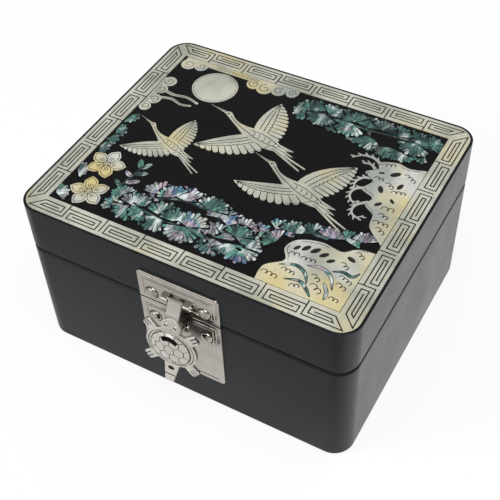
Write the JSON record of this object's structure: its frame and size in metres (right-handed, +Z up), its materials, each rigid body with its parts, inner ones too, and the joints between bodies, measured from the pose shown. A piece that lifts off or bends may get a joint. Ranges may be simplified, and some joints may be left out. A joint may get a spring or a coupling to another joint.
{
  "type": "jewelry box",
  "caption": "Black lacquered wooden jewelry box with rounded corners, a hinged lid inlaid with mother-of-pearl, a turtle hasp latch and a velvet interior.",
  "frame": {"origin": "centre of the felt face that the box rests on", "axes": "+X to the right seen from the front, -Y towards the front with the latch, +Z up"},
  "size_m": [0.155, 0.1478, 0.0835],
  "materials": {
    "black_lacquer": "satin black lacquer on wood",
    "field_lacquer": "polished black lacquer on wood",
    "felt": "black felt",
    "velvet": "dark red velvet",
    "pearl": "polished mother-of-pearl sheet, cream with a faint sheen",
    "warm_pearl": "polished golden mother-of-pearl sheet",
    "abalone": "polished abalone sheet, green, blue and pink",
    "nickel": "pressed and plated steel with a soft nickel lustre",
    "mirror": "silvered glass"
  },
  "bodies": {
    "base": {"base_frame": "black_lacquer", "base_board": "black_lacquer", "base_felt": "felt", "lining_front": "velvet", "lining_back": "velvet", "lining_left": "velvet", "lining_right": "velvet", "ring_bed": "velvet", "divider_long": "velvet", "divider_cross": "velvet", "floor_pad_front": "velvet", "floor_pad_rear": "velvet", "ring_roll_1": "velvet", "ring_roll_2": "velvet", "ring_roll_3": "velvet", "ring_roll_4": "velvet", "ring_roll_5": "velvet", "ring_roll_6": "velvet", "ring_roll_7": "velvet", "latch_lower_plate": "nickel", "latch_keeper": "nickel", "latch_lower_screw_1": "nickel", "latch_lower_screw_2": "nickel", "hinge_left_base_leaf": "nickel", "hinge_left_pin": "nickel", "hinge_left_base_screw_1": "nickel", "hinge_left_base_screw_2": "nickel", "hinge_right_base_leaf": "nickel", "hinge_right_pin": "nickel", "hinge_right_base_screw_1": "nickel", "hinge_right_base_screw_2": "nickel"},
    "lid": {"lid_frame": "black_lacquer", "lid_board": "field_lacquer", "lid_lining": "velvet", "mirror_surround": "velvet", "mirror_glass": "mirror", "pearl_border": "pearl", "moon_disc": "pearl", "cloud_left": "pearl", "cloud_top": "warm_pearl", "crane_1": "pearl", "crane_2": "pearl", "crane_3": "pearl", "pine_top": "abalone", "pine_front": "abalone", "crag_right": "warm_pearl", "crag_front": "warm_pearl", "blossom_1": "warm_pearl", "blossom_2": "warm_pearl", "latch_upper_plate": "nickel", "latch_hinge_pin": "nickel", "latch_upper_screw_1": "nickel", "latch_upper_screw_2": "nickel", "hinge_left_lid_leaf": "nickel", "hinge_left_lid_screw_1": "nickel", "hinge_left_lid_screw_2": "nickel", "hinge_right_lid_leaf": "nickel", "hinge_right_lid_screw_1": "nickel", "hinge_right_lid_screw_2": "nickel"},
    "hasp": {"turtle_hasp": "nickel"}
  },
  "joints": [
    {"name": "lid_hinge", "type": "hinge", "parent": "base", "child": "lid", "pos_m": [0, 0.0668, 0.05895], "axis": [-1, 0, 0], "range_deg": [0, 100]},
    {"name": "hasp_hinge", "type": "hinge", "parent": "lid", "child": "hasp", "pos_m": [0.002, -0.0673, 0.066], "axis": [-1, 0, 0], "range_deg": [-7, 135]}
  ]
}
